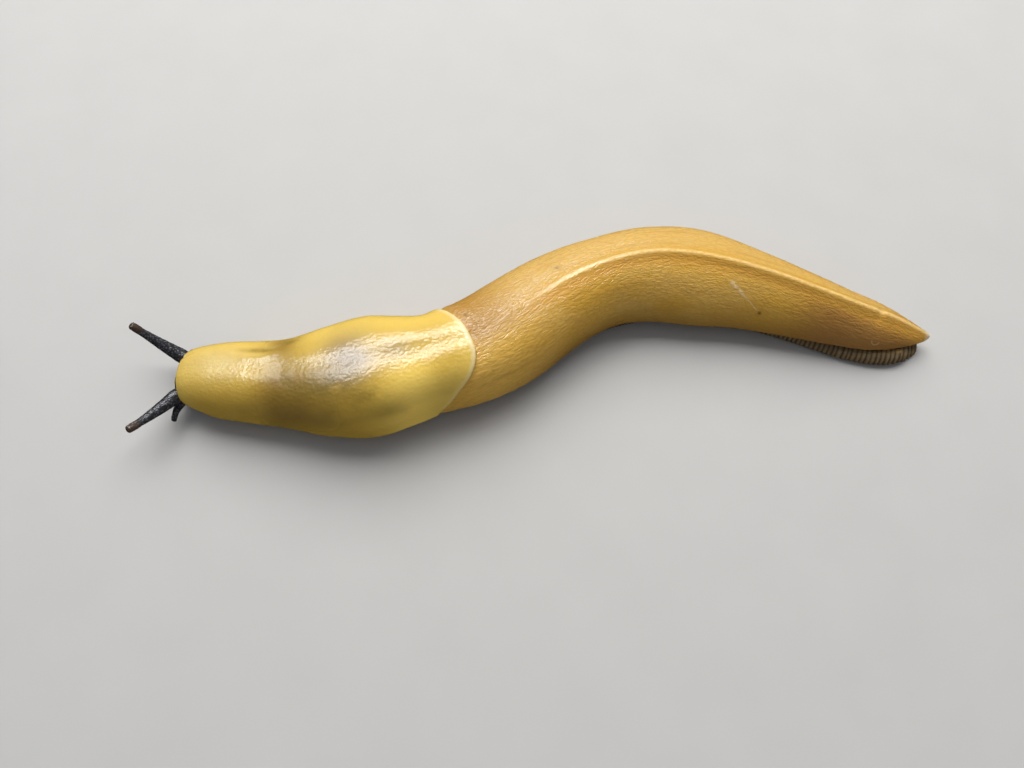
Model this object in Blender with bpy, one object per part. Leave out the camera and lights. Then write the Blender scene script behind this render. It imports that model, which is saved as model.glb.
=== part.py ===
# A life-size banana slug, creeping and bent as in life, as a still model.
# The slug faces -X. Sizes are millimetres along three body measures: s along the back
# from the front lip of the mantle to the tail tip, a to the side with the slug's right
# side positive, and z up from the floor. body_point turns them into world metres.

import math

import bmesh
import bpy
import numpy as np
from mathutils import Vector

MM = 0.001
GAP = 0.3
BODY_LENGTH = 185.0
START_X = -82.63
START_Y = -12.45
SPINE_STEP = 0.5

# Heading of the back in degrees from +X, and sizes in millimetres, each against s.
HEADING = ((0, -2.4), (12, -5.3), (30, 2), (60, 17.4), (80, 38), (105, 18), (130, -12), (155, -19),
           (185, -8))
HALF_WIDTH = ((0, 5.8), (2, 7.0), (5, 8.0), (10, 9.1), (17, 9.6), (25, 10.4), (35, 12.9), (45, 13.9),
              (52, 12.5), (58, 11.4), (65, 11.9), (75, 12.6), (95, 11.8), (105, 11.4), (115, 12.2),
              (128, 12.7), (140, 10.7), (151, 9.1), (163, 7.5), (173, 5.9), (180, 3.2), (185, 0.6))
HEIGHT = ((0, 9.5), (1.5, 10.5), (4, 11.5), (12, 13.4), (25, 15.7), (45, 19.0), (60, 19.0), (75, 18.0),
          (95, 17.8), (120, 17.2), (145, 15.0), (165, 11.2), (178, 7.6), (185, 4.4))
ROUNDNESS = ((0, 2.4), (60, 2.4), (90, 2.2), (130, 1.9), (185, 1.8))
KEEL_LEAN = ((0, 0), (60, -1.1), (75, -1.2), (90, -1.5), (105, -1.1), (115, -0.8), (125, -0.7),
             (140, -0.4), (160, 0.2), (175, 0.5), (185, 0.2))
KEEL_RISE = ((0, 0), (76, 0), (92, 0.4), (115, 0.8), (150, 1.1), (172, 1.0), (185, 0.2))
KEEL_WIDTH = 1.4
WAIST = 0.14
WAIST_T = 0.7
FOOT_JOINT = 0.82
FOOT_HEIGHT = 3.0
BODY_FLOOR = FOOT_HEIGHT + GAP

# The mantle: its rear edge against the share of the way down the flank, the height of its
# lower edge, and its thickness against the distance in from its edge.
MANTLE_REAR = ((-1, 54.8), (-0.86, 58.5), (-0.65, 61.2), (-0.35, 65.0), (-0.1, 66.8), (0.1, 66.8),
               (0.35, 64.8), (0.65, 61.5), (0.86, 58.0), (1, 54.5))
MANTLE_EDGE = ((0, 7.6), (2, 6.8), (5, 6.2), (10, 5.4), (30, 4.9), (185, 4.9))
MANTLE_COVER = ((-9, 2.2), (-4, 1.6), (0, 0.7), (2, 0.3), (4, 0), (300, 0))
LIP_INSIDE = 1.6
RIM_PROUD = 0.25
RIM_REACH = 1.6
RIM_ROUND = 0.25
MANTLE_CLEAR = 0.35
VALLEY_AT = 26.5
VALLEY_DEPTH = 0.55
VALLEY_REACH = 2.2
HOOD_END = VALLEY_AT
BREATHING_HOLE_AT = 48.0
BREATHING_HOLE_T = 0.6
BREATHING_HOLE_SIZE = (1.7, 0.9, 0.8)

# The head under the hood, its mouth and its four tentacles.
HEAD_FRONT = -1.9
HEAD_END = 10.0
HEAD_SNOUT = 4.5
HEAD_MIDDLE = 5.2
HEAD_BLUNT = 2.6
HEAD_MERGES = (3.0, 7.0)
HEAD_HALF_WIDTH = ((-3, 4.8), (0, 5.4), (4, 6.4), (10, 7.2))
HEAD_HEIGHT = ((-3, 7.0), (0, 7.5), (4, 8.5), (10, 10.0))
HEAD_STATIONS = (HEAD_FRONT, -1.75, -1.4, -0.8, 0.1, 1.4, 3.2, 5.0, 7.5, HEAD_END)
HEAD_TIP_SHARE = 0.15
LIP_AT = (-1.1, 1.4, 3.8)
LIP_SIZE = (1.2, 1.6, 1.5)
MOUTH_WIDTH = 2.4
MOUTH_HEIGHT = 5.2
MOUTH_RADIUS = 0.22
MOUTH_CURVE = 0.12

# Each tentacle's root in the head, base and tip as (s, a, z), then its radii at the root, the
# base, the narrowest place and the bulb of the tip, all as shares of the way from base to tip.
UPPER_TENTACLES = {"right": ((1.2, 4.0, 4.6), (-1.9, 5.6, 5.6), (-10.5, 8.6, 14.0)),
                   "left": ((1.8, -2.6, 4.6), (-0.7, -4.8, 5.8), (-7.4, -14.8, 10.0))}
UPPER_RADII = (1.75, 1.6, 0.75, 0.85)
UPPER_SWELL = 0.9
UPPER_SAG = 0.4
LOWER_TENTACLES = {"right": ((1.2, 3.6, 4.2), (-0.6, 6.4, 3.0), (-1.0, 8.4, 2.0)),
                   "left": ((1.4, -3.6, 4.2), (-0.9, -6.9, 3.3), (-1.5, -9.4, 2.4))}
LOWER_RADII = (0.95, 0.85, 0.6, 0.65)
LOWER_SWELL = 0.8
LOWER_SAG = -0.3
TENTACLE_STEPS = 12
TAPER_END = 0.82
BULB_REACH = 0.09
TIP_ROUNDS_FROM = 0.93
TIP_ROUNDING = 0.45
STUB_LENGTH = 0.5
EYE_RADIUS = 0.4
EYE_STEPS = 4
EYE_STEP_TURN = 27

# The foot, its sole and the ribs of its fringe.
FOOT_HALF_WIDTH = ((2.5, 3.4), (6, 6.0), (12, 7.2), (25, 8.6), (35, 10.6), (45, 11.6), (58, 9.5),
                   (75, 10.6), (95, 9.9), (115, 10.0), (128, 9.6), (143, 7.7), (150, 7.5),
                   (156, 7.5), (162, 7.6), (166, 7.5), (170, 7.2), (174, 6.7), (178, 5.5),
                   (180, 4.5), (182.5, 2.4))
FOOT_SIDE = ((2.5, 0), (145, 0), (156, -0.2), (162, -0.5), (166, -0.8), (178, -1.2), (182.5, -1.0))
FOOT_SECTION = ((-0.6, 0.0), (0.0, 0.35), (0.3, 1.2), (0.1, 2.2), (-0.35, FOOT_HEIGHT))
FRINGE_PITCH = 3.0
FRINGE_DEPTH = 0.25

# Where the body is divided along the back, and how finely it is modelled.
BODY_LENGTHS = {"neck": (10.3, 36.0), "torso_front": (36.3, 76.0), "torso_middle": (76.3, 108.0),
                "torso_rear": (108.3, 138.0), "tail_front": (138.3, 163.0), "tail_tip": (163.3, BODY_LENGTH)}
FOOT_LENGTHS = {"foot_front": (2.5, 62.0), "foot_middle": (62.3, 122.0), "foot_rear": (122.3, 182.5)}
STATION_STEP = 3.0
HALF_RING = (0.0, 0.02, 0.045, 0.085, 0.15, 0.24, 0.34, 0.45, 0.57, 0.7, 0.8, 0.9, 1.0)
MANTLE_RING = (0.0, 0.06, 0.15, 0.28, 0.42, 0.56, 0.69, 0.81, 0.91, 0.97, 1.0)

MANTLE_YELLOW = (0.78, 0.56, 0.09)
BODY_OCHRE = (0.55, 0.32, 0.06)
FOOT_BROWN = (0.13, 0.09, 0.035)
HEAD_BROWN = (0.10, 0.08, 0.05)
TENTACLE_GREY = (0.11, 0.12, 0.15)
EYE_BLACK = (0.012, 0.010, 0.009)


def profile(pairs, s):
    """The smooth curve through (s, value) pairs."""
    at = np.array([pair[0] for pair in pairs], float)
    values = np.array([pair[1] for pair in pairs], float)
    slopes = np.gradient(values, at)
    s = min(max(s, at[0]), at[-1])
    i = min(int(np.searchsorted(at, s, side="right")) - 1, len(at) - 2)
    width = at[i + 1] - at[i]
    u = (s - at[i]) / width
    rise = values[i + 1] - values[i]
    start = slopes[i] * width
    end = slopes[i + 1] * width
    return float(values[i] + u * start + u * u * (3 * rise - 2 * start - end)
                 + u * u * u * (start + end - 2 * rise))


def straight_profile(pairs, s):
    """The broken line through (s, value) pairs."""
    return float(np.interp(s, [pair[0] for pair in pairs], [pair[1] for pair in pairs]))


def walk_spine():
    """Places of the spine every SPINE_STEP, in millimetres, with the heading at each."""
    places = [(START_X, START_Y)]
    headings = [math.radians(profile(HEADING, 0))]
    count = round(BODY_LENGTH / SPINE_STEP)
    for i in range(1, count + 1):
        turned = math.radians(profile(HEADING, i * SPINE_STEP))
        mean = (turned + headings[-1]) / 2
        x, y = places[-1]
        places.append((x + SPINE_STEP * math.cos(mean), y + SPINE_STEP * math.sin(mean)))
        headings.append(turned)
    return places, headings


SPINE_PLACES, SPINE_HEADINGS = walk_spine()


def body_point(s, a, z):
    """World place, in metres, of a point given by the three body measures."""
    inside = min(max(s, 0), BODY_LENGTH)
    i = min(int(inside / SPINE_STEP), len(SPINE_PLACES) - 2)
    u = inside / SPINE_STEP - i
    heading = SPINE_HEADINGS[i] * (1 - u) + SPINE_HEADINGS[i + 1] * u
    x = SPINE_PLACES[i][0] * (1 - u) + SPINE_PLACES[i + 1][0] * u
    y = SPINE_PLACES[i][1] * (1 - u) + SPINE_PLACES[i + 1][1] * u
    ahead = s - inside
    x += ahead * math.cos(heading) - a * math.sin(heading)
    y += ahead * math.sin(heading) + a * math.cos(heading)
    return Vector((x, y, z)) * MM


def waist_height(height):
    """Height of a section's widest place."""
    return BODY_FLOOR + WAIST * (height - BODY_FLOOR)


def section_point(s, t, half_width, height):
    """Side and height on a rounded section: t is 0 on top and 1 at the foot."""
    waist = waist_height(height)
    power = 2 / profile(ROUNDNESS, s)
    side = abs(t)
    if side <= WAIST_T:
        turn = math.radians(90 * side / WAIST_T)
        a = half_width * math.sin(turn) ** power
        up = math.cos(turn) ** power if side < WAIST_T else 0.0
        z = waist + (height - waist) * up
    else:
        turn = math.radians(90 * (side - WAIST_T) / (1 - WAIST_T))
        tuck = FOOT_JOINT * half_width
        a = tuck + (half_width - tuck) * math.cos(turn)
        z = waist - (waist - BODY_FLOOR) * math.sin(turn)
    return math.copysign(a, t) if t else 0.0, z


def outline_point(s, t):
    """Side and height on the slug's whole outline, with the keel and its lean."""
    height = profile(HEIGHT, s) - VALLEY_DEPTH * math.exp(-((s - VALLEY_AT) / VALLEY_REACH) ** 2)
    waist = waist_height(height)
    a, z = section_point(s, t, profile(HALF_WIDTH, s), height)
    z += profile(KEEL_RISE, s) * math.exp(-(a / KEEL_WIDTH) ** 2) if z > waist else 0
    rise = min(max((z - waist) / (height - waist), 0), 1)
    return a + profile(KEEL_LEAN, s) * rise ** 2, z


def inset_point(s, t, depth):
    """The outline's point moved by depth toward the middle of the section."""
    a, z = outline_point(s, t)
    middle = min(z, waist_height(profile(HEIGHT, s)))
    across = a - profile(KEEL_LEAN, s) * 0.5
    reach = math.hypot(across, z - middle) or 1.0
    return a - depth * across / reach, z - depth * (z - middle) / reach


def mantle_edge_t(s):
    """The t at which the section crosses the mantle's lower edge."""
    height = profile(HEIGHT, s)
    waist = waist_height(height)
    edge = straight_profile(MANTLE_EDGE, s)
    if edge < waist:
        return WAIST_T + (1 - WAIST_T) * math.degrees(math.asin((waist - edge) / (waist - BODY_FLOOR))) / 90
    up = (edge - waist) / (height - waist)
    return WAIST_T * math.degrees(math.acos(up ** (profile(ROUNDNESS, s) / 2))) / 90


def past_mantle(s, t):
    """Millimetres past the mantle's edge, negative under the mantle."""
    last = max(value for _, value in MANTLE_REAR)
    if s > last + 4:
        return s - last
    rear = profile(MANTLE_REAR, min(max(t / mantle_edge_t(s), -1), 1))
    z = outline_point(s, t)[1]
    return max(s - rear, straight_profile(MANTLE_EDGE, s) - z, -s - LIP_INSIDE)


def mantle_cover(s, t):
    """How deep the body lies below the outline, where the mantle covers it."""
    return straight_profile(MANTLE_COVER, past_mantle(s, t))


def mantle_rim(s, t):
    """How far the mantle's rim stands proud of the outline."""
    return RIM_PROUD * math.exp(-(past_mantle(s, t) / RIM_REACH) ** 2)


def material(name, colour, roughness):
    """A Principled material with one colour."""
    made = bpy.data.materials.new(name)
    made.use_nodes = True
    shader = made.node_tree.nodes["Principled BSDF"]
    shader.inputs["Base Color"].default_value = (*colour, 1)
    shader.inputs["Roughness"].default_value = roughness
    shader.inputs["Metallic"].default_value = 0
    return made


def new_object(name, mesh):
    """An object of a mesh, linked to the scene."""
    made = bpy.data.objects.new(name, mesh)
    bpy.context.scene.collection.objects.link(made)
    return made


def finish_node(node, surface):
    """Triangulates a node, shades it smooth and gives it its material."""
    bm = bmesh.new()
    bm.from_mesh(node.data)
    bmesh.ops.triangulate(bm, faces=bm.faces)
    bmesh.ops.recalc_face_normals(bm, faces=bm.faces)
    bm.to_mesh(node.data)
    bm.free()
    node.data.materials.clear()
    node.data.materials.append(surface)
    node.data.shade_smooth()
    node.data.set_sharp_from_angle(angle=math.radians(50))
    return node


def loft(name, rings):
    """A closed mesh through rings of points, with a fan over each end."""
    bm = bmesh.new()
    grid = [[bm.verts.new(point) for point in ring] for ring in rings]
    count = len(grid[0])
    for one, two in zip(grid, grid[1:]):
        for i in range(count):
            j = (i + 1) % count
            bm.faces.new((one[i], one[j], two[j], two[i]))
    for ring in (grid[0], grid[-1]):
        hub = bm.verts.new(sum((vert.co for vert in ring), Vector()) / count)
        for i in range(count):
            bm.faces.new((ring[i], ring[(i + 1) % count], hub))
    bmesh.ops.recalc_face_normals(bm, faces=bm.faces)
    mesh = bpy.data.meshes.new(name)
    bm.to_mesh(mesh)
    bm.free()
    return new_object(name, mesh)


def keep_largest(node):
    """Keeps only a node's largest closed surface."""
    bm = bmesh.new()
    bm.from_mesh(node.data)
    left = set(bm.verts)
    islands = []
    while left:
        seed = left.pop()
        island = {seed}
        edge = [seed]
        while edge:
            vert = edge.pop()
            for link in vert.link_edges:
                other = link.other_vert(vert)
                if other not in island:
                    island.add(other)
                    edge.append(other)
        left -= island
        islands.append(island)
    islands.sort(key=lambda island: sum(face.calc_area() for vert in island for face in vert.link_faces))
    for island in islands[:-1]:
        bmesh.ops.delete(bm, geom=list(island), context="VERTS")
    bm.to_mesh(node.data)
    bm.free()


def apply_boolean(node, others, operation):
    """Joins or cuts a node by closed objects, which are then removed."""
    group = bpy.data.collections.new(node.name + "_pieces")
    bpy.context.scene.collection.children.link(group)
    for other in others:
        group.objects.link(other)
        other.hide_render = True
        other.display_type = "WIRE"
    step = node.modifiers.new("join", "BOOLEAN")
    step.operation = operation
    step.operand_type = "COLLECTION"
    step.collection = group
    step.solver = "EXACT"
    shown = bpy.context.evaluated_depsgraph_get()
    mesh = bpy.data.meshes.new_from_object(node.evaluated_get(shown))
    node.modifiers.clear()
    node.data = mesh
    for other in others:
        bpy.data.objects.remove(other)
    bpy.data.collections.remove(group)
    keep_largest(node)


def stations(first, last, step):
    """Even places from first to last, about step apart."""
    count = max(2, round((last - first) / step))
    return [first + (last - first) * i / count for i in range(count + 1)]


def both_sides(half):
    """A list from -1 to 1 made of the list from 0 to 1."""
    return [-t for t in reversed(half[1:])] + list(half)


def body_length(name, span, colour):
    """One length of the neck, torso or tail, under the mantle where it is covered."""
    rings = []
    for s in stations(*span, STATION_STEP):
        ring = [inset_point(s, t, mantle_cover(s, t)) for t in both_sides(HALF_RING)]
        rings.append([body_point(s, a, z) for a, z in ring])
    return finish_node(loft(name, rings), colour)


def mantle_ring(place, share):
    """One ring round the mantle's shell: outer face, one edge, inner face, other edge."""
    outer = []
    inner = []
    for u in both_sides(MANTLE_RING):
        s = place(share, u)
        t = u * mantle_edge_t(s)
        outer.append((s, *inset_point(s, t, -mantle_rim(s, t))))
        inner.append((s, *inset_point(s, t, mantle_cover(s, t) - MANTLE_CLEAR)))
    edges = []
    for end in (-1, 0):
        s, a, z = ((one + two) / 2 for one, two in zip(outer[end], inner[end]))
        edges.append((s, a, z - RIM_ROUND))
    ring = outer + [edges[0]] + inner[::-1] + [edges[1]]
    return [body_point(*point) for point in ring]


def mantle_part(name, place, shares, colour):
    """A length of the mantle: a thick saddle over the back, open underneath."""
    rings = [mantle_ring(place, share) for share in shares]
    bm = bmesh.new()
    grid = [[bm.verts.new(point) for point in ring] for ring in rings]
    count = len(grid[0])
    half = (count - 2) // 2
    for one, two in zip(grid, grid[1:]):
        for i in range(count):
            j = (i + 1) % count
            bm.faces.new((one[i], one[j], two[j], two[i]))
    for ring in (grid[0], grid[-1]):
        under = ring[half + 1:count - 1][::-1]
        for i in range(half - 1):
            bm.faces.new((ring[i], ring[i + 1], under[i + 1], under[i]))
        bm.faces.new((ring[half - 1], ring[half], under[half - 1]))
        bm.faces.new((ring[0], under[0], ring[count - 1]))
    bmesh.ops.recalc_face_normals(bm, faces=bm.faces)
    mesh = bpy.data.meshes.new(name)
    bm.to_mesh(mesh)
    bm.free()
    return new_object(name, mesh)


def hood_place(share, flank):
    """Where a share of the hood's length falls on the back."""
    return share * (HOOD_END - GAP / 2)


def shield_place(share, flank):
    """Where a share of the shield's length falls, out to its curved rear edge."""
    first = HOOD_END + GAP / 2
    rear = profile(MANTLE_REAR, flank)
    return first + share * (rear - first)


def ellipsoid(name, centre, size, direction):
    """A closed ellipsoid whose first axis lies along a direction in plan."""
    bm = bmesh.new()
    bmesh.ops.create_uvsphere(bm, u_segments=14, v_segments=8, radius=1)
    turn = math.atan2(direction.y, direction.x)
    for vert in bm.verts:
        x, y, z = (vert.co[i] * size[i] * MM for i in range(3))
        vert.co = centre + Vector((x * math.cos(turn) - y * math.sin(turn),
                                   x * math.sin(turn) + y * math.cos(turn), z))
    mesh = bpy.data.meshes.new(name)
    bm.to_mesh(mesh)
    bm.free()
    return new_object(name, mesh)


def tube(name, points, radii, sides=12):
    """A closed round tube through world points, with a radius in millimetres at each."""
    rings = []
    for i, point in enumerate(points):
        ahead = (points[min(i + 1, len(points) - 1)] - points[max(i - 1, 0)]).normalized()
        across = ahead.cross(Vector((0, 0, 1))).normalized()
        over = across.cross(ahead)
        ring = []
        for k in range(sides):
            turn = 2 * math.pi * k / sides
            ring.append(point + (across * math.cos(turn) + over * math.sin(turn)) * radii[i] * MM)
        rings.append(ring)
    return loft(name, rings)


def tentacle_path(root, base, tip, sag):
    """Points from a tentacle's base to its tip, with a little sag to one side."""
    start = body_point(*base)
    end = body_point(*tip)
    points = []
    for i in range(TENTACLE_STEPS + 1):
        u = i / TENTACLE_STEPS
        points.append(start.lerp(end, u) + Vector((0, 0, -sag * MM * 4 * u * (1 - u))))
    return points


def tentacle_radii(radii, swell):
    """Radius at each point: a taper, then the small bulb at the tip."""
    _, base, waist, bulb = radii
    made = []
    for i in range(TENTACLE_STEPS + 1):
        u = i / TENTACLE_STEPS
        radius = base + (waist - base) * min(u / TAPER_END, 1)
        radius += (bulb - waist) * math.exp(-((u - swell) / BULB_REACH) ** 2)
        rounding = 1 - max(u - TIP_ROUNDS_FROM, 0) / (1 - TIP_ROUNDS_FROM) * TIP_ROUNDING
        made.append(radius * rounding)
    return made


def tentacle(name, places, radii, swell, sag, colour):
    """A tentacle whose flat base meets its stub on the head."""
    path = tentacle_path(*places, sag)
    ahead = (path[1] - path[0]).normalized()
    path[0] = path[0] + ahead * GAP * MM / 2
    return finish_node(tube(name, path, tentacle_radii(radii, swell)), colour)


def tentacle_stub(name, places, radii, sag):
    """The root of a tentacle, from deep in the head to a flat end at its base."""
    root, base, _ = places
    path = tentacle_path(*places, sag)
    ahead = (path[1] - path[0]).normalized()
    inner = body_point(*root)
    end = path[0] - ahead * GAP * MM / 2
    before = end - ahead * STUB_LENGTH * MM
    return tube(name, [inner, before, end], (radii[0], radii[0], radii[1]))


def eye(name, places, radii, swell, sag, colour):
    """A small domed eye facing the flat end of an upper tentacle."""
    path = tentacle_path(*places, sag)
    ahead = (path[-1] - path[-2]).normalized()
    first = path[-1] + ahead * GAP * MM
    points = []
    sizes = []
    for i in range(EYE_STEPS):
        turn = math.radians(i * EYE_STEP_TURN)
        points.append(first + ahead * EYE_RADIUS * MM * math.sin(turn))
        sizes.append(EYE_RADIUS * math.cos(turn))
    return finish_node(tube(name, points, sizes, 10), colour)


def head_rings():
    """Sections of the head, drawn in to a round snout at the front."""
    rings = []
    for s in HEAD_STATIONS:
        part = min((s - HEAD_FRONT) / HEAD_SNOUT, 1)
        full = (1 - (1 - part) ** HEAD_BLUNT) ** (1 / HEAD_BLUNT)
        full = HEAD_TIP_SHARE + (1 - HEAD_TIP_SHARE) * full
        half_width = profile(HEAD_HALF_WIDTH, s)
        height = profile(HEAD_HEIGHT, s)
        merge = min(max((s - HEAD_MERGES[0]) / HEAD_MERGES[1], 0), 1)
        ring = []
        for t in both_sides(HALF_RING[:1] + HALF_RING[4:]):
            a, z = section_point(max(s, 0), t, half_width, height)
            a *= full
            z = HEAD_MIDDLE + (z - HEAD_MIDDLE) * full
            if merge > 0:
                neck_a, neck_z = inset_point(s, t, mantle_cover(s, t))
                a += (neck_a - a) * merge
                z += (neck_z - z) * merge
            ring.append(body_point(s, a, z))
        rings.append(ring)
    return rings


def mouth_cutter():
    """A thin curved rod that cuts the line of the mouth above the lips."""
    points = []
    for i in range(9):
        a = MOUTH_WIDTH * (i / 4 - 1)
        bend = MOUTH_CURVE * a * a
        points.append(body_point(HEAD_FRONT + bend, a, MOUTH_HEIGHT - bend))
    return tube("mouth_cutter", points, [MOUTH_RADIUS] * len(points), 8)


def head(colour):
    """The head with its two lips, the line of its mouth and the roots of its tentacles."""
    node = loft("head", head_rings())
    forward = body_point(1, 0, 0) - body_point(0, 0, 0)
    s, a, z = LIP_AT
    pieces = [ellipsoid("lip_" + str(side), body_point(s, side * a, z), LIP_SIZE, forward)
              for side in (-1, 1)]
    for side, places in UPPER_TENTACLES.items():
        pieces.append(tentacle_stub("stub_upper_" + side, places, UPPER_RADII, UPPER_SAG))
    for side, places in LOWER_TENTACLES.items():
        pieces.append(tentacle_stub("stub_lower_" + side, places, LOWER_RADII, LOWER_SAG))
    apply_boolean(node, pieces, "UNION")
    apply_boolean(node, [mouth_cutter()], "DIFFERENCE")
    return finish_node(node, colour)


def shield(colour):
    """The mantle's rear part, with the breathing hole in its right flank."""
    shares = [i / 16 for i in range(16)] + [0.975, 1]
    node = mantle_part("mantle_shield", shield_place, shares, colour)
    s = BREATHING_HOLE_AT
    a, z = outline_point(s, BREATHING_HOLE_T)
    forward = body_point(s + 1, 0, 0) - body_point(s, 0, 0)
    hole = ellipsoid("breathing_hole", body_point(s, a, z), BREATHING_HOLE_SIZE, forward)
    apply_boolean(node, [hole], "DIFFERENCE")
    return finish_node(node, colour)


def hood(colour):
    """The mantle's free front part, drawn forward over the head."""
    shares = [0, 0.03, 0.09] + [i / 9 for i in range(2, 10)]
    return finish_node(mantle_part("mantle_hood", hood_place, shares, colour), colour)


def foot_length(name, span, colour):
    """One length of the foot: a flat sole, and the ribbed fringe along each side."""
    rings = []
    places = stations(*span, FRINGE_PITCH / 2)
    for i, s in enumerate(places):
        half_width = profile(FOOT_HALF_WIDTH, s)
        middle = profile(FOOT_SIDE, s)
        rib = FRINGE_DEPTH if i % 2 else -FRINGE_DEPTH
        rib *= min(1, (half_width - 1) / 3)
        side = []
        for k, (out, z) in enumerate(FOOT_SECTION):
            ribbed = rib if 0 < k < len(FOOT_SECTION) - 1 else 0
            side.append((max(half_width + out + ribbed, 0.4), z))
        ring = [(a, z) for a, z in side] + [(-a, z) for a, z in reversed(side)]
        rings.append([body_point(s, middle + a, z) for a, z in ring])
    return finish_node(loft(name, rings), colour)


def build():
    """Clears the scene and models every node of the slug."""
    for old in list(bpy.data.objects):
        bpy.data.objects.remove(old)
    mantle_yellow = material("mantle_yellow", MANTLE_YELLOW, 0.22)
    body_ochre = material("body_ochre", BODY_OCHRE, 0.35)
    foot_brown = material("foot_brown", FOOT_BROWN, 0.4)
    head_brown = material("head_brown", HEAD_BROWN, 0.35)
    tentacle_grey = material("tentacle_grey", TENTACLE_GREY, 0.3)
    eye_black = material("eye_black", EYE_BLACK, 0.1)
    head(head_brown)
    for name, span in BODY_LENGTHS.items():
        body_length(name, span, body_ochre)
    hood(mantle_yellow)
    shield(mantle_yellow)
    for name, span in FOOT_LENGTHS.items():
        foot_length(name, span, foot_brown)
    for side, places in UPPER_TENTACLES.items():
        tentacle("tentacle_upper_" + side, places, UPPER_RADII, UPPER_SWELL, UPPER_SAG, tentacle_grey)
        eye("eye_" + side, places, UPPER_RADII, UPPER_SWELL, UPPER_SAG, eye_black)
    for side, places in LOWER_TENTACLES.items():
        tentacle("tentacle_lower_" + side, places, LOWER_RADII, LOWER_SWELL, LOWER_SAG, tentacle_grey)


build()
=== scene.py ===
import math

import bmesh
import bpy
import numpy as np
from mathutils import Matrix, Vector


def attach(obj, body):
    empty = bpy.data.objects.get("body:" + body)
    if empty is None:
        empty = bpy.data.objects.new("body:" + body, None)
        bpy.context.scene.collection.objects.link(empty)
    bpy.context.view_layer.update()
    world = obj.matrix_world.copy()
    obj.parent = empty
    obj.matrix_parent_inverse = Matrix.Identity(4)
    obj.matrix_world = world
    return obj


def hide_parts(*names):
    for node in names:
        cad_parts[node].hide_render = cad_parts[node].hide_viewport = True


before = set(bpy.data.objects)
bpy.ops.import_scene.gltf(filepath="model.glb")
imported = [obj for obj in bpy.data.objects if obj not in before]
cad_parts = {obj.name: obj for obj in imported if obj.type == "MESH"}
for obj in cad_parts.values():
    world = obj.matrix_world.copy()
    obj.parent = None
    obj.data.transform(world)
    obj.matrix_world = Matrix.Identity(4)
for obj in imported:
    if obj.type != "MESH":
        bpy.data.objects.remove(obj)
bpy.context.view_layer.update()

mm = 0.001

# The slug faces -X. Along the back s runs from the mantle's front lip to the tail tip, a goes to
# the side with the slug's right positive, z is up. All are millimetres until bodyPoint, and t says
# how far round a section a point is, 0 on top and 1 at the foot.
slug = {
    "length": 185,
    "start": (-82.63, -12.45),
    "heading": ((0, -2.4), (12, -5.3), (30, 2), (60, 17.4), (80, 38), (105, 18), (130, -12), (155, -19),
                (185, -8)),
    "halfWidth": ((0, 5.8), (2, 7), (5, 8), (10, 9.1), (17, 9.6), (25, 10.4), (35, 12.9), (45, 13.9),
                  (52, 12.5), (58, 11.4), (65, 11.9), (75, 12.6), (95, 11.8), (105, 11.4), (115, 12.2),
                  (128, 12.7), (140, 10.7), (151, 9.1), (163, 7.5), (173, 5.9), (180, 3.2), (185, 0.6)),
    "height": ((0, 9.5), (1.5, 10.5), (4, 11.5), (12, 13.4), (25, 15.7), (45, 19), (60, 19),
               (75, 18), (95, 17.8), (120, 17.2), (145, 15), (165, 11.2), (178, 7.6), (185, 4.4)),
    "roundness": ((0, 2.4), (25, 2.4), (38, 2.6), (48, 2.8), (60, 2.8), (72, 2.4), (90, 2.2), (130, 1.9),
                  (185, 1.8)),
    "keelLean": ((0, 0), (60, -1.1), (75, -1.2), (90, -1.5), (105, -1.1), (115, -0.8), (125, -0.7),
                 (140, -0.4), (160, 0.2), (175, 0.5), (185, 0.2)),
    "keelRise": ((0, 0), (76, 0), (92, 0.4), (115, 0.8), (150, 1.1), (172, 1), (185, 0.2)),
    "keelWidth": 1.4,
    "notch": (171.2, 0.7, 0.5),     # place, reach and depth of the nick in the keel
    "waist": 0.14,      # widest place, as a share of the height over the foot
    "waistT": 0.7,      # t at that place
    "footJoint": 0.82,  # half width over the foot, as a share of the widest
    "bodyFloor": 3.3,
    "tipRound": 0.9,
    "spineStep": 0.5,
}


def curve(pairs, x):
    # smooth curve through (x, value) pairs
    at = np.array([pair[0] for pair in pairs], float)
    values = np.array([pair[1] for pair in pairs], float)
    slopes = np.gradient(values, at)
    x = np.clip(x, at[0], at[-1])
    i = np.clip(np.searchsorted(at, x, side="right") - 1, 0, len(at) - 2)
    width = at[i + 1] - at[i]
    u = (x - at[i]) / width
    rise = values[i + 1] - values[i]
    start = slopes[i] * width
    end = slopes[i + 1] * width
    square = u * u * (3 * rise - 2 * start - end)
    return values[i] + u * start + square + u ** 3 * (start + end - 2 * rise)


def brokenLine(pairs, x):
    return np.interp(x, [pair[0] for pair in pairs], [pair[1] for pair in pairs])


def blendStep(x, low, high):
    # 0 below low, 1 above high, smooth between
    u = np.clip((x - low) / (high - low), 0, 1)
    return u * u * (3 - 2 * u)


spineS = np.arange(0, slug["length"] + slug["spineStep"] / 2, slug["spineStep"])
spineTurn = np.radians(curve(slug["heading"], spineS))
meanTurn = (spineTurn[1:] + spineTurn[:-1]) / 2
spineX = slug["start"][0] + np.concatenate([[0], np.cumsum(slug["spineStep"] * np.cos(meanTurn))])
spineY = slug["start"][1] + np.concatenate([[0], np.cumsum(slug["spineStep"] * np.sin(meanTurn))])


def bodyPoint(s, a, z):
    # world places in metres, last axis xyz
    inside = np.clip(s, 0, slug["length"])
    turn = np.interp(inside, spineS, spineTurn)
    ahead = s - inside
    x = np.interp(inside, spineS, spineX) + ahead * np.cos(turn) - a * np.sin(turn)
    y = np.interp(inside, spineS, spineY) + ahead * np.sin(turn) + a * np.cos(turn)
    return np.stack(np.broadcast_arrays(x, y, z), -1) * mm


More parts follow.
